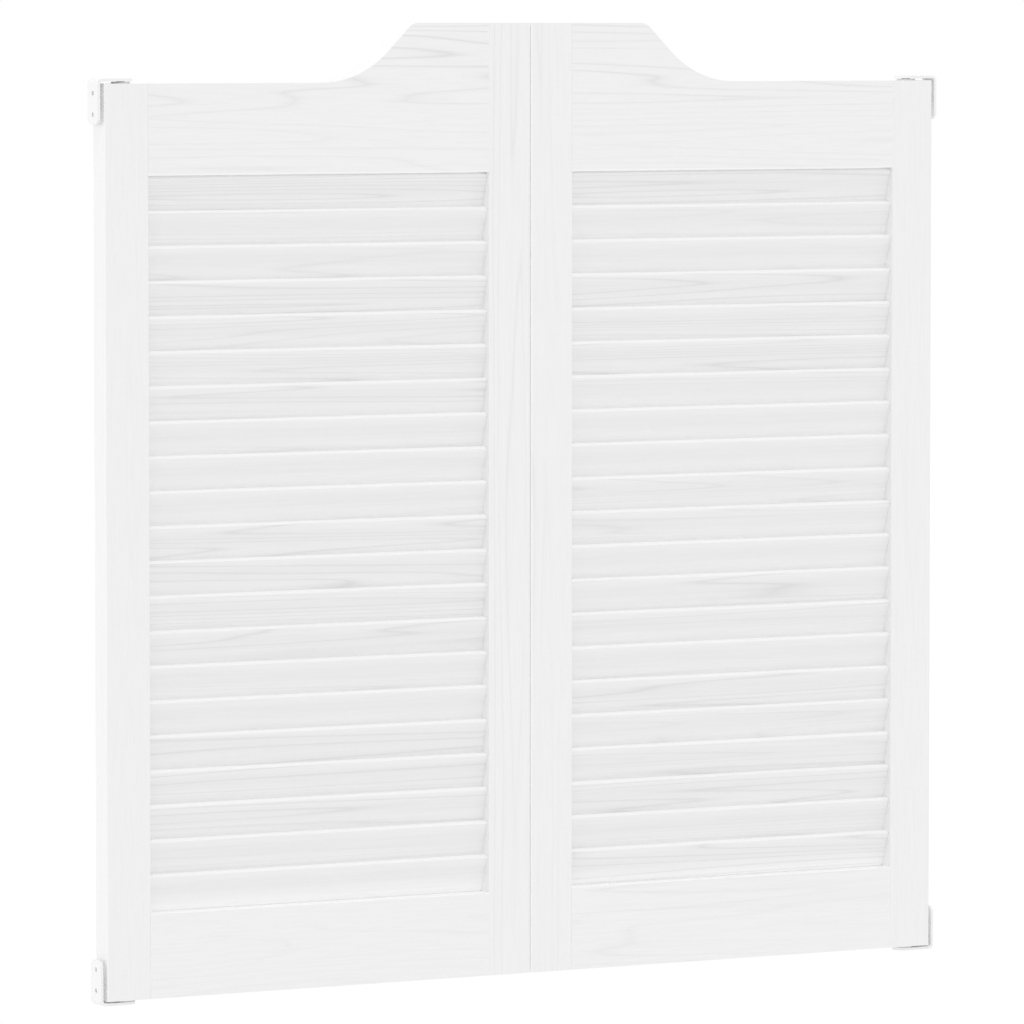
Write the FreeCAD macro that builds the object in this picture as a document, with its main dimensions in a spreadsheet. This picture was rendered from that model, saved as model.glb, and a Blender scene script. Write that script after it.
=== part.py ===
import FreeCAD, Part

# A pair of louvred cafe doors, in millimetres.  Each leaf is a frame of two
# stiles and two rails, mortised and tenoned together.  It holds a bank of
# fixed louvre slats whose ends sit in slanted housings cut into the stiles.
# Each leaf turns both ways on a sprung lower pivot and a plain upper pivot,
# on pins riveted to four small brackets that are screwed to the jambs.
#
# Frame: X runs across the opening, -Y is the front, +Z is up.  The origin is
# midway between the jambs, level with the underside of the lower brackets.

import math
import os

import Sketcher
from FreeCAD import Placement, Rotation, Vector

# ---------------------------------------------------------------- the sizes

DRIVING_SIZES = [
    ("opening_width", 914, "clear width between the two jambs"),
    ("side_clearance", 6, "from each jamb to the edge of its leaf"),
    ("meeting_gap", 0.9, "between the two leaves"),
    ("thickness", 25.4, "of stiles and rails"),
    ("leaf_height", 857.5, "of a leaf at its hanging stile"),
    ("crest_rise", 56.5, "of the crest above the hanging stile"),
    ("stile_width", 45, "seen from the front"),
    ("top_rail_height", 85.5, "at the hanging stile"),
    ("bottom_rail_height", 80, "seen from the front"),
    ("crest_flat", 120.5, "level length of the crest, from the meeting edge"),
    ("nose_radius", 15, "where the crest rolls over"),
    ("cove_radius", 100, "where the slope runs out on the top rail"),
    ("flank_angle", 45, "of the slope between nose and cove, in degrees"),
    ("edge_round", 1.2, "on the long outer edges of the stiles"),
    ("arris", 0.5, "chamfer on the frame's edges beside the louvres"),
    ("slat_count", 21, "slats in each leaf"),
    ("slat_width", 36.5, "measured along the slant"),
    ("slat_gauge", 6.4, "thickness of a slat"),
    ("slat_arris", 0.8, "chamfer on a slat's long edges"),
    ("slat_tilt", 20, "of a slat from upright, in degrees"),
    ("slat_end_gap", 0.55, "between the bank of slats and each rail"),
    ("housing_depth", 9, "of the housings in the stiles"),
    ("housing_fit", 0.15, "all round a slat in its housing"),
    ("slat_end_play", 0.5, "between a slat's end and its housing"),
    ("tenon_gauge", 8.5, "thickness of the rails' tenons"),
    ("tenon_length", 25, "reaching into the stile"),
    ("tenon_setback", 10, "of a tenon from the edge of its rail"),
    ("crest_tenons", 2, "one above the other where a top rail meets its crest end"),
    ("tenon_spacing", 20, "between the tenons at the crest"),
    ("tenon_fit", 0.05, "all round a tenon in its mortise"),
    ("tenon_relief", 1, "left beyond a tenon's end for glue"),
    ("pivot_wall", 3, "of wood between a pivot's bore and a mortise"),
    ("pivot_inset", 22.5, "of the pivot axis from the leaf's outer edge"),
    ("pin_diameter", 8, "of the pivot pins"),
    ("pin_length", 24, "standing out of a bracket"),
    ("running_fit", 0.05, "all round a pin in its bore"),
    ("bore_relief", 1, "left beyond a pin, bush or cartridge"),
    ("press_fit", 0.02, "all round a bush or cartridge in its stile"),
    ("cartridge_diameter", 16, "of the spring cartridge's barrel"),
    ("cartridge_length", 38, "of the spring cartridge's barrel"),
    ("cartridge_flange", 21, "diameter of the spring cartridge's flange"),
    ("bush_diameter", 12, "of the upper bush's barrel"),
    ("bush_length", 28, "of the upper bush's barrel"),
    ("bush_flange", 18, "diameter of the upper bush's flange"),
    ("flange_gauge", 1.5, "thickness of both flanges"),
    ("top_play", 0.5, "between the upper flange and its bracket"),
    ("bracket_gauge", 2.5, "sheet thickness of the brackets"),
    ("bracket_width", 22, "of the brackets, front to back"),
    ("bracket_height", 40, "of the jamb plate above its arm"),
    ("bracket_corner", 4, "clipped off each corner of the jamb plate"),
    ("bend_radius", 2, "inside the brackets' bend"),
    ("screw_hole", 4.5, "diameter of the jamb screw holes"),
    ("screw_head", 8, "diameter of their countersinks"),
    ("screw_head_angle", 90, "of their countersinks, in degrees"),
    ("screw_count", 2, "in each bracket"),
    ("screw_inset", 11, "from a bracket's arm to its first screw"),
    ("screw_pitch", 20, "from each of a bracket's screws to the next"),
]

WORKED_OUT_SIZES = [
    ("leaf_width", "(opening_width - 2 * side_clearance - meeting_gap) / 2"),
    ("crest_height", "leaf_height + crest_rise"),
    ("rail_length", "leaf_width - 2 * stile_width"),
    ("louvre_height", "leaf_height - top_rail_height - bottom_rail_height"),
    ("leaf_lift", "bracket_gauge + flange_gauge"),
    ("hanging_face", "opening_width / 2 - side_clearance - stile_width"),
    ("meeting_face", "meeting_gap / 2 + stile_width"),
    ("leaf_middle", "(hanging_face + meeting_face) / 2"),
    ("pivot_reach", "side_clearance + pivot_inset"),
    ("pivot_place", "opening_width / 2 - pivot_reach"),
    ("upper_arm", "leaf_lift + leaf_height + flange_gauge + top_play"),
    ("slat_length", "rail_length + 2 * (housing_depth - slat_end_play)"),
    ("edge_rise", "(slat_gauge - 2 * slat_arris) * sin(slat_tilt)"),
    ("slat_rise", "slat_width * cos(slat_tilt) + edge_rise"),
    ("slat_pitch", "(louvre_height - 2 * slat_end_gap - slat_rise) / (slat_count - 1)"),
    ("first_slat", "bottom_rail_height + slat_end_gap + slat_rise / 2"),
    ("bottom_mortise_floor", "cartridge_length + bore_relief + pivot_wall"),
    ("bottom_hanging_tenon", "bottom_rail_height - tenon_setback - bottom_mortise_floor"),
    ("bottom_meeting_tenon", "bottom_rail_height - 2 * tenon_setback"),
    ("top_mortise_floor", "bush_length + bore_relief + pivot_wall"),
    ("top_hanging_tenon", "top_rail_height - tenon_setback - top_mortise_floor"),
    ("tenoned_height", "top_rail_height + crest_rise - 2 * tenon_setback"),
    ("crest_spacings", "(crest_tenons - 1) * tenon_spacing"),
    ("top_meeting_tenon", "(tenoned_height - crest_spacings) / crest_tenons"),
]


def make_size_sheet(doc):
    """Write both lists into a sheet, one alias to a row."""
    sheet = doc.addObject("Spreadsheet::Sheet", "sizes")
    row = 1
    for alias, number, note in DRIVING_SIZES:
        sheet.set("A%d" % row, alias)
        sheet.set("B%d" % row, str(number))
        sheet.set("C%d" % row, note)
        sheet.setAlias("B%d" % row, alias)
        row += 1
    for alias, formula in WORKED_OUT_SIZES:
        sheet.set("A%d" % row, alias)
        sheet.set("B%d" % row, "=" + formula)
        sheet.setAlias("B%d" % row, alias)
        row += 1
    doc.recompute()
    return sheet


doc = FreeCAD.newDocument("cafe_doors")
sizes = make_size_sheet(doc)


def number(formula):
    """The present value of a formula in the sheet's aliases."""
    return float(sizes.evalExpression(formula))


# ------------------------------------------------- bodies, sketches, features


def bind(thing, **formulas):
    """Tie properties of thing to formulas; __ stands for a dot in a name."""
    for path, formula in formulas.items():
        thing.setExpression(path.replace("__", "."), formula)


AS_DRAWN = Rotation()
TURNED_ROUND = Rotation(Vector(0, 0, 1), 180)
UPSIDE_DOWN = Rotation(Vector(1, 0, 0), 180)
ROUND_AND_OVER = Rotation(Vector(0, 1, 0), 180)


def add_body(label, x="0", z="0", rotation=AS_DRAWN):
    """A body whose own origin is at (x, 0, z); x and z are formulas."""
    body = doc.addObject("PartDesign::Body", label)
    body.Placement = Placement(Vector(), rotation)
    bind(body, Placement__Base__x=x, Placement__Base__z=z)
    return body


def origin_part(body, role):
    return next(part for part in body.Origin.OriginFeatures if part.Role == role)


def add_sketch(body, name, plane, across="0", along="0", out="0", turn="0"):
    """A sketch on one of the body's own planes, moved and turned in it."""
    sketch = body.newObject("Sketcher::SketchObject", name)
    sketch.AttachmentSupport = [(origin_part(body, plane), "")]
    sketch.MapMode = "FlatFace"
    sketch.AttachmentOffset = Placement(Vector(), Rotation(Vector(0, 0, 1), 0))
    bind(
        sketch,
        AttachmentOffset__Base__x=across,
        AttachmentOffset__Base__y=along,
        AttachmentOffset__Base__z=out,
        AttachmentOffset__Rotation__Angle=turn,
    )
    return sketch


def add_line(sketch, start, end):
    return sketch.addGeometry(Part.LineSegment(Vector(*start, 0), Vector(*end, 0)))


def add_arc(sketch, centre, radius, start_deg, end_deg):
    circle = Part.Circle(Vector(*centre, 0), Vector(0, 0, 1), radius)
    arc = Part.ArcOfCircle(circle, math.radians(start_deg), math.radians(end_deg))
    return sketch.addGeometry(arc)


def constrain(sketch, kind, *where):
    sketch.addConstraint(Sketcher.Constraint(kind, *where))


def dimension(sketch, name, kind, *where, formula):
    """A named driving dimension, tied to a formula."""
    value = number(formula)
    if kind == "Angle":
        value = math.radians(value)
    index = sketch.addConstraint(Sketcher.Constraint(kind, *where, value))
    sketch.renameConstraint(index, name)
    sketch.setExpression("Constraints." + name, formula)


START, END, CENTRE = range(1, 4)
ORIGIN = (-1, START)


def add_pad(body, name, sketch, length, backwards=False, both_ways=False):
    pad = body.newObject("PartDesign::Pad", name)
    pad.Profile = sketch
    pad.Reversed = backwards
    if both_ways:
        pad.SideType = "Symmetric"
    bind(pad, Length=length)
    return pad


def add_pocket(body, name, sketch, depth, along_normal=False):
    """A pocket cut against the sketch's normal, or along it if asked."""
    pocket = body.newObject("PartDesign::Pocket", name)
    pocket.Profile = sketch
    pocket.Reversed = along_normal
    bind(pocket, Length=depth)
    return pocket


def repeat_upwards(body, name, feature, pitch, count):
    pattern = body.newObject("PartDesign::LinearPattern", name)
    pattern.Originals = [feature]
    pattern.Direction = (origin_part(body, "Z_Axis"), [""])
    pattern.Mode = "Spacing"
    bind(pattern, Offset=pitch, Occurrences=count)
    body.Tip = pattern
    return pattern


def ease_edges(body, name, feature, radius, chosen):
    """Round the edges of feature for which chosen(edge) is true."""
    doc.recompute()
    edges = feature.Shape.Edges
    names = ["Edge%d" % (place + 1) for place, edge in enumerate(edges) if chosen(edge)]
    fillet = body.newObject("PartDesign::Fillet", name)
    fillet.Base = (feature, names)
    bind(fillet, Radius=radius)
    return fillet


def chamfer_edges(body, name, feature, size, chosen):
    """Chamfer the edges of feature for which chosen(edge) is true."""
    doc.recompute()
    edges = feature.Shape.Edges
    names = ["Edge%d" % (place + 1) for place, edge in enumerate(edges) if chosen(edge)]
    chamfer = body.newObject("PartDesign::Chamfer", name)
    chamfer.Base = (feature, names)
    bind(chamfer, Size=size)
    return chamfer


def near(value, target, allowance=1e-4):
    return abs(value - target) < allowance


def runs_along(edge, axis):
    """True for a straight edge parallel to axis x, y or z."""
    if not isinstance(edge.Curve, Part.Line):
        return False
    return near(abs(getattr(edge.Curve.Direction, axis)), 1)


def lies_at(edge, axis, place):
    """True if the whole edge lies at one place along axis x, y or z."""
    low = getattr(edge.BoundBox, axis.upper() + "Min")
    high = getattr(edge.BoundBox, axis.upper() + "Max")
    return near(low, place) and near(high, place)


# ------------------------------------------------------------------ outlines


def draw_circle(sketch, diameter):
    circle = Part.Circle(Vector(), Vector(0, 0, 1), number(diameter) / 2)
    ring = sketch.addGeometry(circle)
    constrain(sketch, "Coincident", ring, CENTRE, *ORIGIN)
    dimension(sketch, "diameter", "Diameter", ring, formula=diameter)


def draw_rectangle(sketch, width, height):
    """A rectangle centred on the sketch; width and height are formulas."""
    half_width = number(width) / 2
    half_height = number(height) / 2
    corners = [
        (-half_width, -half_height),
        (half_width, -half_height),
        (half_width, half_height),
        (-half_width, half_height),
    ]
    sides = [add_line(sketch, a, b) for a, b in zip(corners, corners[1:] + corners[:1])]
    for side, following in zip(sides, sides[1:] + sides[:1]):
        constrain(sketch, "Coincident", side, END, following, START)
    bottom, right, top, left = sides
    for level in (bottom, top):
        constrain(sketch, "Horizontal", level)
    for upright in (right, left):
        constrain(sketch, "Vertical", upright)
    constrain(sketch, "Symmetric", bottom, START, top, START, *ORIGIN)
    dimension(sketch, "width", "DistanceX", bottom, START, bottom, END, formula=width)
    dimension(sketch, "height", "DistanceY", right, START, right, END, formula=height)


def draw_crested_rail(sketch):
    """The top rail from the front: low at the hanging end, then a hollow
    curve, a straight slope and a small round up to the level crest."""
    length = number("sizes.rail_length")
    low = number("sizes.top_rail_height")
    high = low + number("sizes.crest_rise")
    nose = number("sizes.nose_radius")
    cove = number("sizes.cove_radius")
    angle = number("sizes.flank_angle")
    lean = math.radians(angle)
    nose_x = length - number("sizes.crest_flat - sizes.stile_width")
    slope_top = (nose_x - nose * math.sin(lean), high - nose * (1 - math.cos(lean)))
    slope_foot_z = low + cove * (1 - math.cos(lean))
    slope_foot_x = slope_top[0] - (slope_top[1] - slope_foot_z) / math.tan(lean)
    cove_x = slope_foot_x - cove * math.sin(lean)

    bottom = add_line(sketch, (0, 0), (length, 0))
    meeting_end = add_line(sketch, (length, 0), (length, high))
    crest = add_line(sketch, (length, high), (nose_x, high))
    roll = add_arc(sketch, (nose_x, high - nose), nose, 90, 90 + angle)
    slope = add_line(sketch, (slope_foot_x, slope_foot_z), slope_top)
    hollow = add_arc(sketch, (cove_x, low + cove), cove, 270, 270 + angle)
    shoulder = add_line(sketch, (cove_x, low), (0, low))
    hanging_end = add_line(sketch, (0, low), (0, 0))

    constrain(sketch, "Coincident", bottom, END, meeting_end, START)
    constrain(sketch, "Coincident", meeting_end, END, crest, START)
    constrain(sketch, "Tangent", crest, END, roll, START)
    constrain(sketch, "Tangent", roll, END, slope, END)
    constrain(sketch, "Tangent", slope, START, hollow, END)
    constrain(sketch, "Tangent", hollow, START, shoulder, START)
    constrain(sketch, "Coincident", shoulder, END, hanging_end, START)
    constrain(sketch, "Coincident", hanging_end, END, bottom, START)
    for level in (bottom, crest, shoulder):
        constrain(sketch, "Horizontal", level)
    for upright in (meeting_end, hanging_end):
        constrain(sketch, "Vertical", upright)
    constrain(sketch, "Coincident", bottom, START, *ORIGIN)
    dimension(sketch, "length", "DistanceX", bottom, START, bottom, END, formula="sizes.rail_length")
    dimension(
        sketch,
        "low",
        "DistanceY",
        hanging_end,
        END,
        hanging_end,
        START,
        formula="sizes.top_rail_height",
    )
    dimension(
        sketch,
        "high",
        "DistanceY",
        meeting_end,
        START,
        meeting_end,
        END,
        formula="sizes.top_rail_height + sizes.crest_rise",
    )
    dimension(
        sketch,
        "crest",
        "DistanceX",
        crest,
        END,
        crest,
        START,
        formula="sizes.crest_flat - sizes.stile_width",
    )
    dimension(sketch, "nose", "Radius", roll, formula="sizes.nose_radius")
    dimension(sketch, "cove", "Radius", hollow, formula="sizes.cove_radius")
    dimension(sketch, "flank", "Angle", slope, formula="sizes.flank_angle")


def draw_bracket_arm(sketch):
    """A bracket's arm from above: square at the jamb, round at the pivot."""
    reach = number("sizes.pivot_reach")
    half = number("sizes.bracket_width") / 2
    front = add_line(sketch, (-reach, -half), (0, -half))
    tip = add_arc(sketch, (0, 0), half, -90, 90)
    back = add_line(sketch, (0, half), (-reach, half))
    jamb_end = add_line(sketch, (-reach, half), (-reach, -half))
    constrain(sketch, "Tangent", front, END, tip, START)
    constrain(sketch, "Tangent", tip, END, back, START)
    constrain(sketch, "Coincident", back, END, jamb_end, START)
    constrain(sketch, "Coincident", jamb_end, END, front, START)
    constrain(sketch, "Horizontal", front)
    constrain(sketch, "Horizontal", back)
    constrain(sketch, "Vertical", jamb_end)
    constrain(sketch, "Coincident", tip, CENTRE, *ORIGIN)
    dimension(sketch, "tip", "Radius", tip, formula="sizes.bracket_width / 2")
    dimension(sketch, "reach", "DistanceX", jamb_end, START, *ORIGIN, formula="sizes.pivot_reach")


# ----------------------------------------------------------- the louvred leaf


def plan_tenons(rail, end):
    """One tenon's height and its middle above the leaf's foot."""
    height = "sizes.%s_%s_tenon" % (rail, end)
    if rail == "bottom":
        middle = "sizes.bottom_rail_height - sizes.tenon_setback - %s / 2" % height
    else:
        louvre_top = "sizes.bottom_rail_height + sizes.louvre_height"
        middle = "%s + sizes.tenon_setback + %s / 2" % (louvre_top, height)
    return height, middle


def repeat_at_crest(body, feature, rail, end, height):
    """The joint at the crest is tall, so it has more than one tenon."""
    if (rail, end) == ("top", "meeting"):
        pitch = height + " + sizes.tenon_spacing"
        repeat_upwards(body, feature.Label + "_set", feature, pitch, "sizes.crest_tenons")


def cut_mortises(body, end):
    """Mortises for the tenons of both rails, in a stile's louvre face."""
    for rail in ("bottom", "top"):
        height, middle = plan_tenons(rail, end)
        name = "%s_%s_mortise" % (body.Label, rail)
        sketch = add_sketch(body, name + "_mark", "YZ_Plane", along=middle)
        draw_rectangle(
            sketch,
            "sizes.tenon_gauge + 2 * sizes.tenon_fit",
            height + " + 2 * sizes.tenon_fit",
        )
        mortise = add_pocket(body, name, sketch, "sizes.tenon_length + sizes.tenon_relief")
        repeat_at_crest(body, mortise, rail, end, height)


def add_tenons(body, rail, end, foot):
    """The tenons at one end of a rail whose underside is at height foot."""
    height, middle = plan_tenons(rail, end)
    name = "%s_%s_tenon" % (body.Label, end)
    at_meeting_end = end == "meeting"
    sketch = add_sketch(
        body,
        name + "_section",
        "YZ_Plane",
        along="%s - (%s)" % (middle, foot),
        out="sizes.rail_length" if at_meeting_end else "0",
    )
    draw_rectangle(sketch, "sizes.tenon_gauge", height)
    tenon = add_pad(body, name, sketch, "sizes.tenon_length", backwards=not at_meeting_end)
    repeat_at_crest(body, tenon, rail, end, height)


def cut_housings(body, tilt):
    """The slanted housings that the slats' ends sit in.

    Housing and slat are the same rectangle, turned by the same angle and
    larger by the fit, so that they stay in line when a size changes.
    """
    sketch = add_sketch(
        body, body.Label + "_housing_mark", "YZ_Plane", along="sizes.first_slat", turn=tilt
    )
    draw_rectangle(
        sketch,
        "sizes.slat_gauge + 2 * sizes.housing_fit",
        "sizes.slat_width + 2 * sizes.housing_fit",
    )
    housing = add_pocket(body, body.Label + "_housing", sketch, "sizes.housing_depth")
    repeat_upwards(
        body, body.Label + "_housings", housing, "sizes.slat_pitch", "sizes.slat_count"
    )


def bore_pivot_holes(body, height):
    """Bores for the spring cartridge below and the bush above."""
    inset = "sizes.pivot_inset - sizes.stile_width"
    lower = add_sketch(body, body.Label + "_lower_mark", "XY_Plane", across=inset)
    draw_circle(lower, "sizes.cartridge_diameter + 2 * sizes.press_fit")
    depth = "sizes.cartridge_length + sizes.bore_relief"
    add_pocket(body, body.Label + "_lower_bore", lower, depth, along_normal=True)
    upper = add_sketch(body, body.Label + "_upper_mark", "XY_Plane", across=inset, out=height)
    draw_circle(upper, "sizes.bush_diameter + 2 * sizes.press_fit")
    depth = "sizes.bush_length + sizes.bore_relief"
    add_pocket(body, body.Label + "_upper_bore", upper, depth)


def add_stile(label, end, face, height, turned):
    """A stile whose louvre face stands at face; height is a formula."""
    rotation = TURNED_ROUND if turned else AS_DRAWN
    body = add_body(label, x=face, z="sizes.leaf_lift", rotation=rotation)
    section = add_sketch(body, label + "_section", "XY_Plane", across="-sizes.stile_width / 2")
    draw_rectangle(section, "sizes.stile_width", "sizes.thickness")
    blank = add_pad(body, label + "_blank", section, height)
    far_side = -number("sizes.stile_width")
    rounded = ease_edges(
        body,
        label + "_rounded",
        blank,
        "sizes.edge_round",
        lambda edge: runs_along(edge, "z") and lies_at(edge, "x", far_side),
    )
    chamfer_edges(
        body,
        label + "_arrised",
        rounded,
        "sizes.arris",
        lambda edge: runs_along(edge, "z") and lies_at(edge, "x", 0),
    )
    cut_housings(body, "-sizes.slat_tilt" if turned else "sizes.slat_tilt")
    cut_mortises(body, end)
    if end == "hanging":
        bore_pivot_holes(body, height)
    return body


def add_rail(label, rail, face, foot, turned):
    """A rail with its hanging end at face and its underside at height foot."""
    rotation = TURNED_ROUND if turned else AS_DRAWN
    body = add_body(label, x=face, z="sizes.leaf_lift + " + foot, rotation=rotation)
    if rail == "top":
        outline = add_sketch(body, label + "_outline", "XZ_Plane")
        draw_crested_rail(outline)
        louvre_edge = 0
    else:
        outline = add_sketch(
            body,
            label + "_outline",
            "XZ_Plane",
            across="sizes.rail_length / 2",
            along="sizes.bottom_rail_height / 2",
        )
        draw_rectangle(outline, "sizes.rail_length", "sizes.bottom_rail_height")
        louvre_edge = number("sizes.bottom_rail_height")
    board = add_pad(body, label + "_board", outline, "sizes.thickness", both_ways=True)
    chamfer_edges(
        body,
        label + "_arrised",
        board,
        "sizes.arris",
        lambda edge: runs_along(edge, "x") and lies_at(edge, "z", louvre_edge),
    )
    for end in ("hanging", "meeting"):
        add_tenons(body, rail, end, foot)
    return body


def add_slat(label, middle, place):
    """One louvre slat: top edge forward, both ends in their housings."""
    height = "sizes.leaf_lift + sizes.first_slat + %d * sizes.slat_pitch" % place
    body = add_body(label, x=middle, z=height)
    section = add_sketch(body, label + "_section", "YZ_Plane", turn="sizes.slat_tilt")
    draw_rectangle(section, "sizes.slat_gauge", "sizes.slat_width")
    strip = add_pad(body, label + "_strip", section, "sizes.slat_length", both_ways=True)
    chamfer_edges(
        body, label + "_arrised", strip, "sizes.slat_arris", lambda edge: runs_along(edge, "x")
    )
    return body


# ----------------------------------------------------------------- the pivots


def add_sleeve(label, x, z, rotation, barrel, barrel_length, flange):
    """A flanged sleeve with a blind bore for a pivot pin, mouth at its origin."""
    body = add_body(label, x=x, z=z, rotation=rotation)
    ring = add_sketch(body, label + "_ring", "XY_Plane")
    draw_circle(ring, flange)
    add_pad(body, label + "_flange", ring, "sizes.flange_gauge")
    round_bar = add_sketch(body, label + "_round", "XY_Plane")
    draw_circle(round_bar, barrel)
    add_pad(body, label + "_barrel", round_bar, barrel_length + " + sizes.flange_gauge")
    mouth = add_sketch(body, label + "_mouth", "XY_Plane")
    draw_circle(mouth, "sizes.pin_diameter + 2 * sizes.running_fit")
    add_pocket(
        body, label + "_bore", mouth, "sizes.pin_length + sizes.bore_relief", along_normal=True
    )
    return body


def add_pin(label, x, z, rotation):
    """A pivot pin that starts flush with the outside of its bracket's arm."""
    body = add_body(label, x=x, z=z, rotation=rotation)
    mark = add_sketch(body, label + "_mark", "XY_Plane")
    draw_circle(mark, "sizes.pin_diameter")
    add_pad(body, label + "_shank", mark, "sizes.bracket_gauge + sizes.pin_length")
    return body


def add_pivot_pins(label, z, rotation):
    """The left and right pins at one height, as two solids in one group."""
    pins = doc.addObject("Part::Compound", label)
    pins.Links = [
        add_pin("left_" + label, "-sizes.pivot_place", z, rotation),
        add_pin("right_" + label, "sizes.pivot_place", z, rotation),
    ]
    return pins


def add_bracket(label, x, z, rotation):
    """A bent jamb bracket.

    As drawn it is the lower left one: the arm's upper face is level with the
    origin, the pivot axis runs up through it and the jamb plate is to the left.
    """
    body = add_body(label, x=x, z=z, rotation=rotation)
    arm_outline = add_sketch(body, label + "_arm_outline", "XY_Plane")
    draw_bracket_arm(arm_outline)
    add_pad(body, label + "_arm", arm_outline, "sizes.bracket_gauge", backwards=True)
    plate_outline = add_sketch(
        body,
        label + "_plate_outline",
        "YZ_Plane",
        along="(sizes.bracket_height - sizes.bracket_gauge) / 2",
        out="-sizes.pivot_reach",
    )
    draw_rectangle(
        plate_outline, "sizes.bracket_width", "sizes.bracket_height + sizes.bracket_gauge"
    )
    plate = add_pad(body, label + "_plate", plate_outline, "sizes.bracket_gauge")
    head = number("sizes.bracket_height")
    clipped = chamfer_edges(
        body,
        label + "_clipped",
        plate,
        "sizes.bracket_corner",
        lambda edge: runs_along(edge, "x") and lies_at(edge, "z", head),
    )

    jamb = -number("sizes.pivot_reach")
    gauge = number("sizes.bracket_gauge")
    outer_bend = ease_edges(
        body,
        label + "_outer_bend",
        clipped,
        "sizes.bracket_gauge + sizes.bend_radius",
        lambda edge: lies_at(edge, "x", jamb) and lies_at(edge, "z", -gauge),
    )
    ease_edges(
        body,
        label + "_inner_bend",
        outer_bend,
        "sizes.bend_radius",
        lambda edge: lies_at(edge, "x", jamb + gauge) and lies_at(edge, "z", 0),
    )
    pin_mark = add_sketch(body, label + "_pin_mark", "XY_Plane")
    draw_circle(pin_mark, "sizes.pin_diameter + 2 * sizes.press_fit")
    add_pocket(body, label + "_pin_hole", pin_mark, "sizes.bracket_gauge")
    drill_jamb_screws(body)
    return body


def drill_jamb_screws(body):
    """Screw holes in the jamb plate, countersunk on the leaf's side."""
    doc.recompute()
    mark = add_sketch(
        body,
        body.Label + "_screw_mark",
        "YZ_Plane",
        along="sizes.screw_inset",
        out="sizes.bracket_gauge - sizes.pivot_reach",
    )
    draw_circle(mark, "sizes.screw_hole")
    doc.recompute()
    hole = body.newObject("PartDesign::Hole", body.Label + "_screw")
    hole.Profile = mark
    hole.DepthType = "ThroughAll"
    hole.HoleCutType = "Countersink"
    hole.HoleCutCustomValues = True
    bind(
        hole,
        Diameter="sizes.screw_hole",
        HoleCutDiameter="sizes.screw_head",
        HoleCutCountersinkAngle="sizes.screw_head_angle",
    )
    repeat_upwards(body, body.Label + "_screws", hole, "sizes.screw_pitch", "sizes.screw_count")


# -------------------------------------------------------------- the two doors


def add_leaf(hand):
    """Every piece that swings with one leaf."""
    sign = "-" if hand == "left" else ""
    on_right = hand == "right"
    hanging_face = sign + "sizes.hanging_face"
    meeting_face = sign + "sizes.meeting_face"
    pivot = sign + "sizes.pivot_place"
    louvre_top = "sizes.bottom_rail_height + sizes.louvre_height"
    pieces = [
        add_stile(hand + "_hanging_stile", "hanging", hanging_face, "sizes.leaf_height", on_right),
        add_stile(
            hand + "_meeting_stile", "meeting", meeting_face, "sizes.crest_height", not on_right
        ),
        add_rail(hand + "_bottom_rail", "bottom", hanging_face, "0", on_right),
        add_rail(hand + "_top_rail", "top", hanging_face, louvre_top, on_right),
        add_sleeve(
            hand + "_spring_cartridge",
            pivot,
            "sizes.bracket_gauge",
            AS_DRAWN,
            "sizes.cartridge_diameter",
            "sizes.cartridge_length",
            "sizes.cartridge_flange",
        ),
        add_sleeve(
            hand + "_upper_bush",
            pivot,
            "sizes.upper_arm - sizes.top_play",
            UPSIDE_DOWN,
            "sizes.bush_diameter",
            "sizes.bush_length",
            "sizes.bush_flange",
        ),
    ]
    for place in range(int(number("sizes.slat_count"))):
        label = "%s_slat_%02d" % (hand, place + 1)
        pieces.append(add_slat(label, sign + "sizes.leaf_middle", place))
    return pieces


def add_jamb_fittings():
    """The four fixed brackets, one shape turned into each corner, and their pins."""
    left = "-sizes.pivot_place"
    right = "sizes.pivot_place"
    lower = "sizes.bracket_gauge"
    upper = "sizes.upper_arm"
    return [
        add_bracket("left_lower_bracket", left, lower, AS_DRAWN),
        add_bracket("right_lower_bracket", right, lower, TURNED_ROUND),
        add_bracket("left_upper_bracket", left, upper, UPSIDE_DOWN),
        add_bracket("right_upper_bracket", right, upper, ROUND_AND_OVER),
        add_pivot_pins("lower_pivot_pins", "0", AS_DRAWN),
        add_pivot_pins("upper_pivot_pins", "sizes.upper_arm + sizes.bracket_gauge", UPSIDE_DOWN),
    ]


def check_and_write(pieces):
    """Stop if anything failed to build, then write one STEP file a piece."""
    for item in doc.Objects:
        failed = {"Invalid", "Error"} & set(item.State)
        if failed:
            raise RuntimeError("%s is %s" % (item.Label, sorted(failed)))
    for piece in pieces:
        if piece.Shape.isNull() or not piece.Shape.isValid():
            raise RuntimeError("%s has no valid shape" % piece.Label)
    os.makedirs("parts", exist_ok=True)
    for piece in pieces:
        piece.Shape.exportStep("parts/%s.step" % piece.Label)
        print("%-24s %10.1f mm3" % (piece.Label, piece.Shape.Volume))


all_pieces = add_jamb_fittings() + add_leaf("left") + add_leaf("right")
doc.recompute()
check_and_write(all_pieces)
print("%d pieces written" % len(all_pieces))
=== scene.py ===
# %% [markdown]
# # A pair of louvred cafe doors
#
# Two painted pine leaves hang side by side and swing both ways. Each leaf is
# a frame of two upright stiles and two level rails around a bank of slanted
# slats. The shapes come from a packed construction model, in metres, with X
# across the opening, -Y towards the viewer and +Z up. This lesson gives those
# shapes their finishes, a camera and a small studio.

# %% Load the construction model
import math

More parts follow.
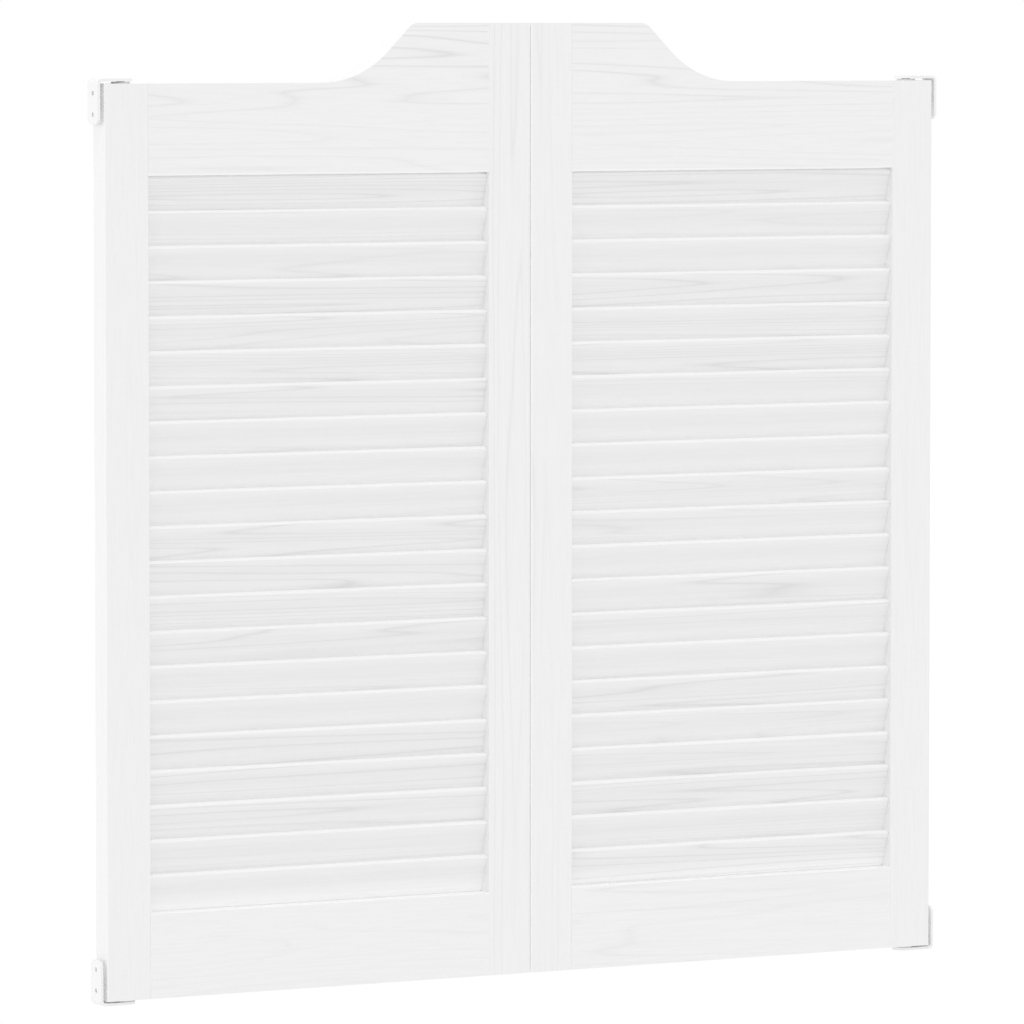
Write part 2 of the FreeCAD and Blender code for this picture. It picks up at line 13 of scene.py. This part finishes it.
import bpy
from mathutils import Euler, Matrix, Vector

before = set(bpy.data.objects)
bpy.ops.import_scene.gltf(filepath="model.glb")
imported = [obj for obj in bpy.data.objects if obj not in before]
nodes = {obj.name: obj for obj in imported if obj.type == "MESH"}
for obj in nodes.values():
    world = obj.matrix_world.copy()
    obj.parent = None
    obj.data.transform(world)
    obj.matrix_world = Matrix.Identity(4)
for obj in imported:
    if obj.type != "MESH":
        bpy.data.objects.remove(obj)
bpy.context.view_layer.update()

# %% [markdown]
# ## The camera
#
# The doors are seen from the left and a little above their middle, from about
# seven metres away through a long lens. A long lens from far off keeps
# upright edges nearly parallel, which is how furniture is usually shown. The
# picture is square, so the sensor's width is also its height.

# %% Camera
camera_place = Vector((-3.403763, -6.220877, 0.913770))
camera_turn = math.radians(28.58907)  # to the right of straight ahead
camera_dip = math.radians(3.754292)  # below the horizon
camera_range = 200.0  # metres, past the far edge of the floor
lens_mm = 259.775
sensor_mm = 36.0

camera_data = bpy.data.cameras.new("studio_camera")
camera_data.sensor_width = sensor_mm
camera_data.lens = lens_mm
camera_data.clip_end = camera_range
camera = bpy.data.objects.new("studio_camera", camera_data)
camera.location = camera_place
camera.rotation_euler = Euler((math.pi / 2 - camera_dip, 0.0, -camera_turn), "XYZ")
bpy.context.scene.collection.objects.link(camera)
bpy.context.scene.camera = camera
print("camera stands", round(camera_place.length, 2), "m from the origin")

# %% [markdown]
# ## Helpers for node trees
#
# Every finish below is a tree of shader nodes. Written out call by call such
# a tree is long and hard to follow, so a few small helpers do the repeated
# work. One gives a neutral colour of a stated whiteness. One adds a node and
# sets its unlinked inputs by name, and one links two sockets. One makes a node
# group whose inputs and outputs have names, and one places such a group in a
# material. The last does arithmetic on sockets and plain numbers alike.

# %% Node helpers
def grey(level):
    """A neutral, opaque colour, from 0 for black to 1 for white."""
    return (level, level, level, 1.0)


def add(tree, kind, settings=None, **values):
    """Add a node; settings are its properties, values its input sockets."""
    node = tree.nodes.new(kind)
    for name, value in (settings or {}).items():
        setattr(node, name, value)
    for name, value in values.items():
        node.inputs[name.replace("_", " ")].default_value = value
    return node


def link(tree, source, target):
    tree.links.new(source, target)


def new_group(name, inputs, outputs):
    """A shader node group; inputs maps a name to its default value."""
    group = bpy.data.node_groups.new(name, "ShaderNodeTree")
    for label, default in inputs.items():
        kind = "NodeSocketVector" if isinstance(default, tuple) else "NodeSocketFloat"
        socket = group.interface.new_socket(label, in_out="INPUT", socket_type=kind)
        socket.default_value = default
    for label, kind in outputs.items():
        group.interface.new_socket(label, in_out="OUTPUT", socket_type=kind)
    return group, group.nodes.new("NodeGroupInput"), group.nodes.new("NodeGroupOutput")


def place_group(tree, group, **values):
    """Put a copy of a group in a material with its own values."""
    node = add(tree, "ShaderNodeGroup", {"node_tree": group}, **values)
    node.label = group.name
    return node


def math_node(tree, operation, first, second=None, clamp=False):
    """A Math node whose inputs are sockets or plain numbers."""
    node = add(tree, "ShaderNodeMath", {"operation": operation, "use_clamp": clamp})
    for place, value in enumerate((first, second)):
        if value is None:
            continue
        if isinstance(value, (int, float)):
            node.inputs[place].default_value = value
        else:
            link(tree, value, node.inputs[place])
    return node.outputs[0]


print("node helpers ready")

# %% [markdown]
# ## Grain that shows through paint
#
# Pine is hard and soft by turns: each year's late wood stands a hair prouder
# than the early wood once paint has dried and shrunk over it. From across the
# room that is a faint pattern of thin lines which run along the board and now
# and then close into long, nested arches. A wave texture gives regular
# stripes, which look printed. Here a broad noise is stretched along the board
# and folded back and forth many times. Its contour lines nest in the way that
# sawn growth rings do. A second, slower noise fades the rings out wherever it
# stays below the cover, because paint hides them unevenly, and a fine one
# stands for the fibres. The cover may differ from piece to piece.
#
# The board's direction comes in as a stretch, so that one group serves upright
# stiles and level rails. Each piece is cut from another part of the timber:
# the random number that Blender gives every object shifts the pattern.

# %% Noise and range helpers
def add_noise(tree, place, scale, detail, roughness=0.5):
    noise = add(tree, "ShaderNodeTexNoise", Scale=scale, Detail=detail, Roughness=roughness)
    link(tree, place, noise.inputs["Vector"])
    return noise.outputs["Fac"]


def add_map(tree, value, low, high, to_low=0.0, to_high=1.0):
    """Map low..high to to_low..to_high and clamp the ends."""
    node = add(
        tree,
        "ShaderNodeMapRange",
        From_Min=low,
        From_Max=high,
        To_Min=to_low,
        To_Max=to_high,
    )
    link(tree, value, node.inputs["Value"])
    return node.outputs["Result"]


print("noise and range helpers ready")

# %% Group: timber grain
piece_shift = (31.0, 47.0, 19.0)
average_random = 0.5  # of the pieces' random numbers, which run from 0 to 1
ring_noise = {"scale": 0.16, "detail": 1.5, "roughness": 0.4}
cover_noise = {"scale": 0.09, "detail": 2.0}
fibre_noise = {"scale": 3.1, "detail": 5.0, "roughness": 0.6}
ring_fold = 0.5  # where the broad noise turns back
ring_sharpness = 7.0  # a power: more gives thinner lines
cover_fade = 0.2  # this far above the cover the rings show in full
fibre_range = (0.35, 0.65)


def build_timber_grain():
    group, inside, outside = new_group(
        "timber_grain",
        {
            "Stretch": (1.0, 1.0, 1.0),
            "Rings": 12.0,
            "Fibre Share": 0.4,
            "Cover": 0.42,
            "Cover Spread": 0.0,
        },
        {
            "Height": "NodeSocketFloat",
            "Late Wood": "NodeSocketFloat",
            "Fibre": "NodeSocketFloat",
        },
    )
    place = add(group, "ShaderNodeTexCoord").outputs["Object"]
    stretched = add(group, "ShaderNodeVectorMath", {"operation": "MULTIPLY"})
    link(group, place, stretched.inputs[0])
    link(group, inside.outputs["Stretch"], stretched.inputs[1])
    piece = add(group, "ShaderNodeObjectInfo").outputs["Random"]
    shift = add(group, "ShaderNodeVectorMath", {"operation": "SCALE"})
    shift.inputs[0].default_value = piece_shift
    link(group, piece, shift.inputs["Scale"])
    shifted = add(group, "ShaderNodeVectorMath", {"operation": "ADD"})
    link(group, stretched.outputs[0], shifted.inputs[0])
    link(group, shift.outputs[0], shifted.inputs[1])
    timber = shifted.outputs[0]

    broad = add_noise(group, timber, **ring_noise)
    folded = math_node(group, "MULTIPLY", broad, inside.outputs["Rings"])
    rings = math_node(group, "PINGPONG", folded, ring_fold)
    rings = math_node(group, "MULTIPLY", rings, 1.0 / ring_fold)
    rings = math_node(group, "POWER", rings, ring_sharpness)
    patchy = add_noise(group, timber, **cover_noise)
    off_average = math_node(group, "SUBTRACT", piece, average_random)
    own_cover = math_node(group, "MULTIPLY", off_average, inside.outputs["Cover Spread"])
    own_cover = math_node(group, "ADD", own_cover, inside.outputs["Cover"])
    above_cover = math_node(group, "SUBTRACT", patchy, own_cover)
    shown = add_map(group, above_cover, 0.0, cover_fade)
    late_wood = math_node(group, "MULTIPLY", rings, shown)

    fibres = add_noise(group, timber, **fibre_noise)
    fibres = add_map(group, fibres, *fibre_range)
    fibre_part = math_node(group, "MULTIPLY", fibres, inside.outputs["Fibre Share"])
    height = math_node(group, "ADD", late_wood, fibre_part)
    link(group, height, outside.inputs["Height"])
    link(group, late_wood, outside.inputs["Late Wood"])
    link(group, fibres, outside.inputs["Fibre"])
    return group


timber_grain = build_timber_grain()
print("group:", timber_grain.name, len(timber_grain.nodes), "nodes")

# %% [markdown]
# ## The paint film
#
# Sprayed satin paint is not glass-flat. It has a fine ripple, a millimetre or
# two across, and slow changes of thickness that make one patch a little
# glossier than the next. Both are noises, the first used as height and the
# second as a mask that the materials turn into roughness. Powder coat, zinc
# plate and moulded nylon have the same two marks at other scales, so the
# fittings use this group too.

# %% Group: paint film
def build_paint_film():
    group, inside, outside = new_group(
        "paint_film",
        {"Ripple Scale": 600.0, "Patch Scale": 9.0},
        {"Height": "NodeSocketFloat", "Patch": "NodeSocketFloat"},
    )
    place = add(group, "ShaderNodeTexCoord").outputs["Object"]
    ripple = add(group, "ShaderNodeTexNoise", Detail=2.0, Roughness=0.5)
    patch = add(group, "ShaderNodeTexNoise", Detail=3.0, Roughness=0.55)
    for noise, scale in ((ripple, "Ripple Scale"), (patch, "Patch Scale")):
        link(group, place, noise.inputs["Vector"])
        link(group, inside.outputs[scale], noise.inputs["Scale"])
    link(group, ripple.outputs["Fac"], outside.inputs["Height"])
    link(group, patch.outputs["Fac"], outside.inputs["Patch"])
    return group


paint_film = build_paint_film()
print("group:", paint_film.name, len(paint_film.nodes), "nodes")

# %% [markdown]
# ## Eased edges
#
# No painted board has a knife edge: the joiner takes the arris off with a few
# strokes of abrasive, and pressed or moulded pieces come with a small round.
# Modelling that on every edge costs thousands of faces. The Bevel node bends
# the normal near an edge instead. How far it bends is also a mask of where the
# edges are. The timber uses the mask alone, for a painted highlight: a whiter
# colour along its edges that stands in for the light an eased arris catches.
# The brackets and the zinc use both, with a greyer coat or a rubbed edge, and
# the nylon uses the bent normal alone.

# %% Group: eased edge
bevel_rays = 6


def build_eased_edge():
    group, inside, outside = new_group(
        "eased_edge",
        {"Radius": 0.0008, "Reach": 3.0},
        {"Normal": "NodeSocketVector", "Edge": "NodeSocketFloat"},
    )
    bevel = add(group, "ShaderNodeBevel", {"samples": bevel_rays})
    link(group, inside.outputs["Radius"], bevel.inputs["Radius"])
    flat = add(group, "ShaderNodeNewGeometry").outputs["Normal"]
    alike = add(group, "ShaderNodeVectorMath", {"operation": "DOT_PRODUCT"})
    link(group, bevel.outputs["Normal"], alike.inputs[0])
    link(group, flat, alike.inputs[1])
    bend = math_node(group, "SUBTRACT", 1.0, alike.outputs["Value"], clamp=True)
    edge = math_node(group, "MULTIPLY", bend, inside.outputs["Reach"], clamp=True)
    link(group, bevel.outputs["Normal"], outside.inputs["Normal"])
    link(group, edge, outside.inputs["Edge"])
    return group


eased_edge = build_eased_edge()
print("group:", eased_edge.name, len(eased_edge.nodes), "nodes")

# %% [markdown]
# ## Where faces look up, and how high they are
#
# The first output is how far a face looks up, measured in the piece's own
# coordinates so that it doesn't change when a leaf swings. The timber paints a
# highlight there: a whiter colour that stands in for the light caught by faces
# that look up, such as the top edges of the slats. The second is the height
# within the piece, which Blender's Generated coordinates give as 0 at the foot
# of every object and 1 at its head. The finishes make masks of that height,
# some of them for painted light.

# %% Group: settled coat
def build_facing_and_height_masks():
    group, inside, outside = new_group(
        "facing_and_height_masks",
        {"Looks Up From": 0.15, "Looks Up To": 0.8},
        {"Upper Faces": "NodeSocketFloat", "Height In Piece": "NodeSocketFloat"},
    )
    coordinates = add(group, "ShaderNodeTexCoord")
    facing = add(group, "ShaderNodeSeparateXYZ")
    link(group, coordinates.outputs["Normal"], facing.inputs[0])
    ramp = add(group, "ShaderNodeMapRange")
    link(group, facing.outputs["Z"], ramp.inputs["Value"])
    link(group, inside.outputs["Looks Up From"], ramp.inputs["From Min"])
    link(group, inside.outputs["Looks Up To"], ramp.inputs["From Max"])
    link(group, ramp.outputs["Result"], outside.inputs["Upper Faces"])
    within = add(group, "ShaderNodeSeparateXYZ")
    link(group, coordinates.outputs["Generated"], within.inputs[0])
    link(group, within.outputs["Z"], outside.inputs["Height In Piece"])
    return group


facing_and_height_masks = build_facing_and_height_masks()
print("group:", facing_and_height_masks.name, len(facing_and_height_masks.nodes), "nodes")

# %% [markdown]
# ## From masks to a material
#
# A group gives masks and heights. The material turns them into colour,
# roughness and relief, and three more helpers keep that short: one starts a
# material with its shader, one makes a bump of a real height, and one mixes
# two colours by a mask.

# %% Material helpers
def new_material(name):
    material = bpy.data.materials.new(name)
    material.use_nodes = True
    tree = material.node_tree
    tree.nodes.clear()
    output = add(tree, "ShaderNodeOutputMaterial")
    shader = add(tree, "ShaderNodeBsdfPrincipled")
    link(tree, shader.outputs[0], output.inputs["Surface"])
    return material, tree, shader


def add_bump(tree, height, distance, normal=None):
    """Bump of a real height in metres, on top of another normal if given."""
    bump = add(tree, "ShaderNodeBump", Strength=1.0, Distance=distance)
    link(tree, height, bump.inputs["Height"])
    if normal:
        link(tree, normal, bump.inputs["Normal"])
    return bump.outputs["Normal"]


def mix_colours(tree, mask, first, second, blend="MIX"):
    """Mix two colours; first may be a colour or a socket."""
    mix = add(tree, "ShaderNodeMix", {"data_type": "RGBA", "blend_type": blend})
    link(tree, mask, mix.inputs["Factor"])
    if isinstance(first, tuple):
        mix.inputs["A"].default_value = first
    else:
        link(tree, first, mix.inputs["A"])
    mix.inputs["B"].default_value = second
    return mix.outputs["Result"]


print("material helpers ready")

# %% [markdown]
# ## White paint over pine
#
# One recipe serves stiles, rails and slats. What differs is the way the grain
# runs, up the stiles but along the rails and slats, and how well the paint
# covers it. The hanging stiles hardly show a line, and the meeting stiles show
# a few. On the top rails the lines grow stronger towards the crest, and a
# painted highlight whitens the lower edge. The slats have a leaner coat that
# covers some of them better than others. Painted light whitens each slat near
# its head and most at its foot, lifting the shade that falls there. The white
# is neutral, and an edge or a face that looks up gets a painted highlight, a
# little whiter than the face beside it.
#
# Where two boards meet flush, a bent normal would darken both along the joint
# as if there were a groove. The construction model has the real rounds and
# chamfers already, so timber takes only the mask from the eased edge.
#
# The two leaves nearly touch in the middle. The edges that face each other get
# painted light, a whiter colour that keeps the narrow slot between them light
# against its shade.

# %% Whites and the tint of the lines
frame_white = grey(0.932)
slat_white = grey(0.915)
# Painted light: the three whites below stand in for light and highlights on edges, on faces that
# look up, at the slats' heads and feet, along the top rail's lower edge and beside the slot
# between the leaves.
slat_painted_light_white = grey(0.948)
painted_highlight_white = grey(0.975)
painted_light_white = grey(0.985)

# A tint multiplies the white, so nearer to 1 is a fainter line.
crest_lines = (0.86, 0.86, 0.857, 1.0)
slat_lines = (0.885, 0.885, 0.882, 1.0)
rail_lines = (0.945, 0.945, 0.943, 1.0)
hanging_lines = (0.98, 0.98, 0.979, 1.0)
meeting_lines = (0.93, 0.93, 0.928, 1.0)
fibre_tint = (0.972, 0.972, 0.971, 1.0)
print("whites from", slat_white[0], "to", painted_light_white[0])

# %% Where the painted light lies, and the relief
# Shares of a slat's height, from its foot, for the painted light at its foot and head.
foot_light_full_below = 0.14
foot_light_ends_below = 0.5
head_light_from = 0.68
head_light_full = 0.88

# Shares of a top rail's height, from its lower edge: a painted highlight along that edge, then
# stronger lines towards the crest.
lower_edge_highlight_full = 0.006
lower_edge_highlight_ends = 0.012
crest_from = 0.35
crest_to = 0.75

lines_below_crest = 0.3  # their strength there, against 1 at the crest

# Metres.
# The first is the width of the painted highlight along the timber's edges; the second, of the
# painted light beside the middle slot.
edge_highlight_width = 0.0015
slot_light_width = 0.002
grain_relief = 0.00009
film_relief = 0.000012

paint_roughness = (0.34, 0.46)
print("paint's roughness:", paint_roughness)

# %% The recipe
def slot_light_mask(tree):
    """A mask for painted light on the edges that face the other leaf and about a millimetre
    beside them.
    """
    place = add(tree, "ShaderNodeSeparateXYZ")
    link(tree, add(tree, "ShaderNodeTexCoord").outputs["Object"], place.inputs[0])
    off_middle = math_node(tree, "ABSOLUTE", place.outputs["X"])
    return add_map(tree, off_middle, slot_light_width / 2, slot_light_width, 1.0, 0.0)


def paint_timber(name, white, lines, slanted=False, crested=False, slot_painted_light=False, **grain_values):
    """Painted pine, with painted light and highlights; lines is the tint of the late wood under
    the paint.
    """
    # Faces that look up get a painted highlight, toned down on the slats.
    upper_face_highlight = slat_painted_light_white if slanted else painted_highlight_white
    material, tree, shader = new_material(name)
    grain = place_group(tree, timber_grain, **grain_values)
    film = place_group(tree, paint_film)
    edge = place_group(tree, eased_edge, Radius=edge_highlight_width)
    piece_masks = place_group(tree, facing_and_height_masks)
    height = piece_masks.outputs["Height In Piece"]
    late_wood = grain.outputs["Late Wood"]
    colour = white
    # Painted light: a slat is whiter towards its foot and near its head, lifting the shade that
    # falls between the slats.
    if slanted:
        foot_painted_light = add_map(tree, height, foot_light_full_below, foot_light_ends_below, 1.0, 0.0)
        colour = mix_colours(tree, foot_painted_light, colour, painted_light_white)
        head_painted_light = add_map(tree, height, head_light_from, head_light_full)
        colour = mix_colours(tree, head_painted_light, colour, slat_painted_light_white)
    if crested:
        share = add_map(tree, height, crest_from, crest_to, lines_below_crest, 1.0)
        late_wood = math_node(tree, "MULTIPLY", late_wood, share)
    colour = mix_colours(tree, late_wood, colour, lines, "MULTIPLY")
    colour = mix_colours(tree, grain.outputs["Fibre"], colour, fibre_tint, "MULTIPLY")
    # Painted highlight: whiter along the edges.
    colour = mix_colours(tree, edge.outputs["Edge"], colour, painted_highlight_white)
    # Painted highlight along the top rail's lower edge.
    if crested:
        lower_edge_highlight = add_map(tree, height, lower_edge_highlight_full, lower_edge_highlight_ends, 1.0, 0.0)
        colour = mix_colours(tree, lower_edge_highlight, colour, painted_light_white)
    # Painted light beside the slot between the leaves.
    if slot_painted_light:
        colour = mix_colours(tree, slot_light_mask(tree), colour, painted_light_white)
    # Painted highlight on faces that look up.
    colour = mix_colours(tree, piece_masks.outputs["Upper Faces"], colour, upper_face_highlight)
    link(tree, colour, shader.inputs["Base Color"])
    roughness = add_map(tree, film.outputs["Patch"], 0.0, 1.0, *paint_roughness)
    link(tree, roughness, shader.inputs["Roughness"])
    normal = add_bump(tree, grain.outputs["Height"], grain_relief)
    normal = add_bump(tree, film.outputs["Height"], film_relief, normal)
    link(tree, normal, shader.inputs["Normal"])
    return material


print("recipe ready")

# %% Five painted timbers
along_stile = (160.0, 160.0, 7.0)
along_rail = (7.0, 160.0, 160.0)
along_slat = (3.5, 160.0, 160.0)
stile_grain = {"Stretch": along_stile, "Rings": 11.0}
rail_grain = {"Stretch": along_rail, "Rings": 13.0}
crest_grain = {"Stretch": along_rail, "Rings": 13.0, "Cover": 0.32}
slat_grain = {"Stretch": along_slat, "Rings": 20.0, "Cover": 0.37, "Cover Spread": 0.3}
hanging_paint = paint_timber(
    "painted_hanging_stile", frame_white, hanging_lines, **stile_grain
)
meeting_paint = paint_timber(
    "painted_meeting_stile", frame_white, meeting_lines, slot_painted_light=True, **stile_grain
)
rail_paint = paint_timber("painted_bottom_rail", frame_white, rail_lines, **rail_grain)
crest_paint = paint_timber(
    "painted_top_rail", frame_white, crest_lines, crested=True, **crest_grain
)
slat_paint = paint_timber("painted_slat", slat_white, slat_lines, slanted=True, **slat_grain)
for paint in (hanging_paint, meeting_paint, rail_paint, crest_paint, slat_paint):
    print("painted timber:", paint.name, len(paint.node_tree.nodes), "nodes")

# %% [markdown]
# ## The metal and nylon fittings
#
# The jamb brackets are pressed steel with white powder coat, which dries in a
# pebbled skin. The pins and the spring cartridges are zinc plated: a bluish
# grey metal, dull, with cloudy patches. The upper bushes are natural nylon,
# which is an off-white that lets a little light in under its surface.

# %% What the fittings share
def roughen(tree, shader, film, edge, smooth_to_rough, relief):
    """Give a fitting its roughness and normal from its film and its edges."""
    roughness = add_map(tree, film.outputs["Patch"], 0.0, 1.0, *smooth_to_rough)
    link(tree, roughness, shader.inputs["Roughness"])
    normal = add_bump(tree, film.outputs["Height"], relief, edge.outputs["Normal"])
    link(tree, normal, shader.inputs["Normal"])


print("film and edge helper ready")

# %% Powder coat
powder_white = grey(0.93)
powder_edge = grey(0.90)
powder_film = {"Ripple_Scale": 900.0, "Patch_Scale": 30.0}
powder_edge_width = 0.0004
powder_roughness = (0.3, 0.45)
powder_relief = 0.00005


def coat_bracket():
    material, tree, shader = new_material("bracket_powder_coat")
    film = place_group(tree, paint_film, **powder_film)
    edge = place_group(tree, eased_edge, Radius=powder_edge_width)
    colour = mix_colours(tree, edge.outputs["Edge"], powder_white, powder_edge)
    link(tree, colour, shader.inputs["Base Color"])
    roughen(tree, shader, film, edge, powder_roughness, powder_relief)
    return material


bracket_coat = coat_bracket()
print("fitting:", bracket_coat.name)

# %% Zinc plate
zinc_shadow = (0.50, 0.52, 0.56, 1.0)
zinc_bright = (0.66, 0.67, 0.69, 1.0)
zinc_rubbed = grey(0.74)
zinc_film = {"Ripple_Scale": 1400.0, "Patch_Scale": 160.0}
zinc_edge_width = 0.0003
zinc_roughness = (0.28, 0.5)
zinc_relief = 0.00001


def plate_with_zinc():
    material, tree, shader = new_material("dull_zinc")
    shader.inputs["Metallic"].default_value = 1.0
    film = place_group(tree, paint_film, **zinc_film)
    edge = place_group(tree, eased_edge, Radius=zinc_edge_width)
    cloud = mix_colours(tree, film.outputs["Patch"], zinc_shadow, zinc_bright)
    colour = mix_colours(tree, edge.outputs["Edge"], cloud, zinc_rubbed)
    link(tree, colour, shader.inputs["Base Color"])
    roughen(tree, shader, film, edge, zinc_roughness, zinc_relief)
    return material


zinc = plate_with_zinc()
print("fitting:", zinc.name)

# %% Nylon
nylon_pale = (0.80, 0.80, 0.77, 1.0)
nylon_cloudy = (0.76, 0.76, 0.72, 1.0)
nylon_film = {"Ripple_Scale": 500.0, "Patch_Scale": 60.0}
nylon_edge_width = 0.0005
nylon_roughness = (0.4, 0.55)
nylon_relief = 0.00001
nylon_glow = 0.15  # the share of light that enters
nylon_glow_radius = (0.002, 0.002, 0.002)  # times the shader's own scale of 0.05


def mould_in_nylon():
    material, tree, shader = new_material("natural_nylon")
    shader.inputs["Subsurface Weight"].default_value = nylon_glow
    shader.inputs["Subsurface Radius"].default_value = nylon_glow_radius
    film = place_group(tree, paint_film, **nylon_film)
    edge = place_group(tree, eased_edge, Radius=nylon_edge_width)
    colour = mix_colours(tree, film.outputs["Patch"], nylon_pale, nylon_cloudy)
    link(tree, colour, shader.inputs["Base Color"])
    roughen(tree, shader, film, edge, nylon_roughness, nylon_relief)
    return material


nylon = mould_in_nylon()
print("fitting:", nylon.name)

# %% [markdown]
# ## Hand each piece its finish
#
# A node of the construction model keeps its mesh and only gets a material in
# its slot. The piece's name says what it is, so a short list of words is
# enough to choose.

# %% Assign finishes
finish_by_word = {
    "meeting_stile": meeting_paint,
    "hanging_stile": hanging_paint,
    "top_rail": crest_paint,
    "bottom_rail": rail_paint,
    "slat": slat_paint,
    "bracket": bracket_coat,
    "pins": zinc,
    "cartridge": zinc,
    "bush": nylon,
}
for name, piece in nodes.items():
    finish = next(finish for word, finish in finish_by_word.items() if word in name)
    piece.data.materials.clear()
    piece.data.materials.append(finish)
print("finishes given to", len(nodes), "pieces")

# %% [markdown]
# ## The studio
#
# Cafe doors hang clear of the ground, so the floor lies well below them. It
# is a pale, wide sheet. Seen by the camera, in a reflection or through glass,
# it adds a little light of its own, which lifts it to white but leaves the
# doors' shadow in it. The light that it scatters onto the doors is without
# that addition.

# %% Floor
floor_drop = 0.45
floor_reach = 60.0
floor_colour = grey(0.92)
floor_roughness = 0.9
floor_lift = 0.105
corner_directions = ((-1, -1), (1, -1), (1, 1), (-1, 1))


def show_background(tree):
    """A mask that is 1 for rays that show the background as such."""
    path = add(tree, "ShaderNodeLightPath")
    seen = path.outputs["Is Camera Ray"]
    for kind in ("Is Glossy Ray", "Is Transmission Ray"):
        seen = math_node(tree, "MAXIMUM", seen, path.outputs[kind])
    return seen


def make_floor():
    mesh = bpy.data.meshes.new("studio_floor")
    corners = [(x * floor_reach, y * floor_reach, -floor_drop) for x, y in corner_directions]
    mesh.from_pydata(corners, [], [(0, 1, 2, 3)])
    floor = bpy.data.objects.new("studio_floor", mesh)
    bpy.context.scene.collection.objects.link(floor)
    material, tree, shader = new_material("pale_floor")
    shader.inputs["Base Color"].default_value = floor_colour
    shader.inputs["Roughness"].default_value = floor_roughness
    shader.inputs["Specular IOR Level"].default_value = 0.0
    shader.inputs["Emission Color"].default_value = grey(1.0)
    lift = math_node(tree, "MULTIPLY", show_background(tree), floor_lift)
    link(tree, lift, shader.inputs["Emission Strength"])
    mesh.materials.append(material)
    return floor


floor = make_floor()
print("floor at", floor.bound_box[0][2], "m")

# %% [markdown]
# ## Light
#
# The doors are white on white. A strong lamp would bleach the fronts and blacken
# the gaps, so nearly all the light is an even fill from the world, as in a
# white tent. Two weak, wide suns then tell the faces apart. One stands high in
# front and lifts whatever looks up. The other stands nearly level with the
# doors and a little behind them on the left, so it brushes their outer left
# side and hardly touches the fronts. Suns light the whole floor alike, however
# far it reaches. White boards side by side also pass light to and fro many
# times, and with the usual four bounces their gaps would be too dark.

# %% World
fill_level = 0.845


def light_world():
    world = bpy.data.worlds.new("studio_world")
    bpy.context.scene.world = world
    world.use_nodes = True
    tree = world.node_tree
    tree.nodes.clear()
    output = add(tree, "ShaderNodeOutputWorld")
    fill = add(tree, "ShaderNodeBackground", Color=grey(1.0), Strength=fill_level)
    seen = add(tree, "ShaderNodeBackground", Color=grey(1.0), Strength=1.0)
    choose = add(tree, "ShaderNodeMixShader")
    link(tree, show_background(tree), choose.inputs[0])
    link(tree, fill.outputs[0], choose.inputs[1])
    link(tree, seen.outputs[0], choose.inputs[2])
    link(tree, choose.outputs[0], output.inputs["Surface"])


light_world()
print("fill from the world:", fill_level)

# %% Suns and bounces
sun_width = math.radians(20.0)
sun_settings = {
    "high_sun": {"turn_deg": -20, "lift_deg": 60, "strength": 0.46},
    "side_sun": {"turn_deg": -98, "lift_deg": 8, "strength": 0.34},
}
bounces_between_boards = 24


def add_wide_sun(name, turn_deg, lift_deg, strength):
    """A soft sun; turn is to the right of the front, lift above the horizon."""
    sun = bpy.data.lights.new(name, "SUN")
    sun.energy = strength
    sun.angle = sun_width
    holder = bpy.data.objects.new(name, sun)
    tilt = math.pi / 2 - math.radians(lift_deg)
    holder.rotation_euler = Euler((tilt, 0.0, math.radians(turn_deg)), "XYZ")
    bpy.context.scene.collection.objects.link(holder)
    return holder


suns = [add_wide_sun(name, **setting) for name, setting in sun_settings.items()]
bpy.context.scene.cycles.max_bounces = bounces_between_boards
bpy.context.scene.cycles.diffuse_bounces = bounces_between_boards
bpy.context.scene.view_settings.view_transform = "Standard"
for sun in suns:
    beam = sun.rotation_euler.to_matrix() @ Vector((0.0, 0.0, -1.0))
    print(sun.name, "shines along", [round(part, 2) for part in beam])
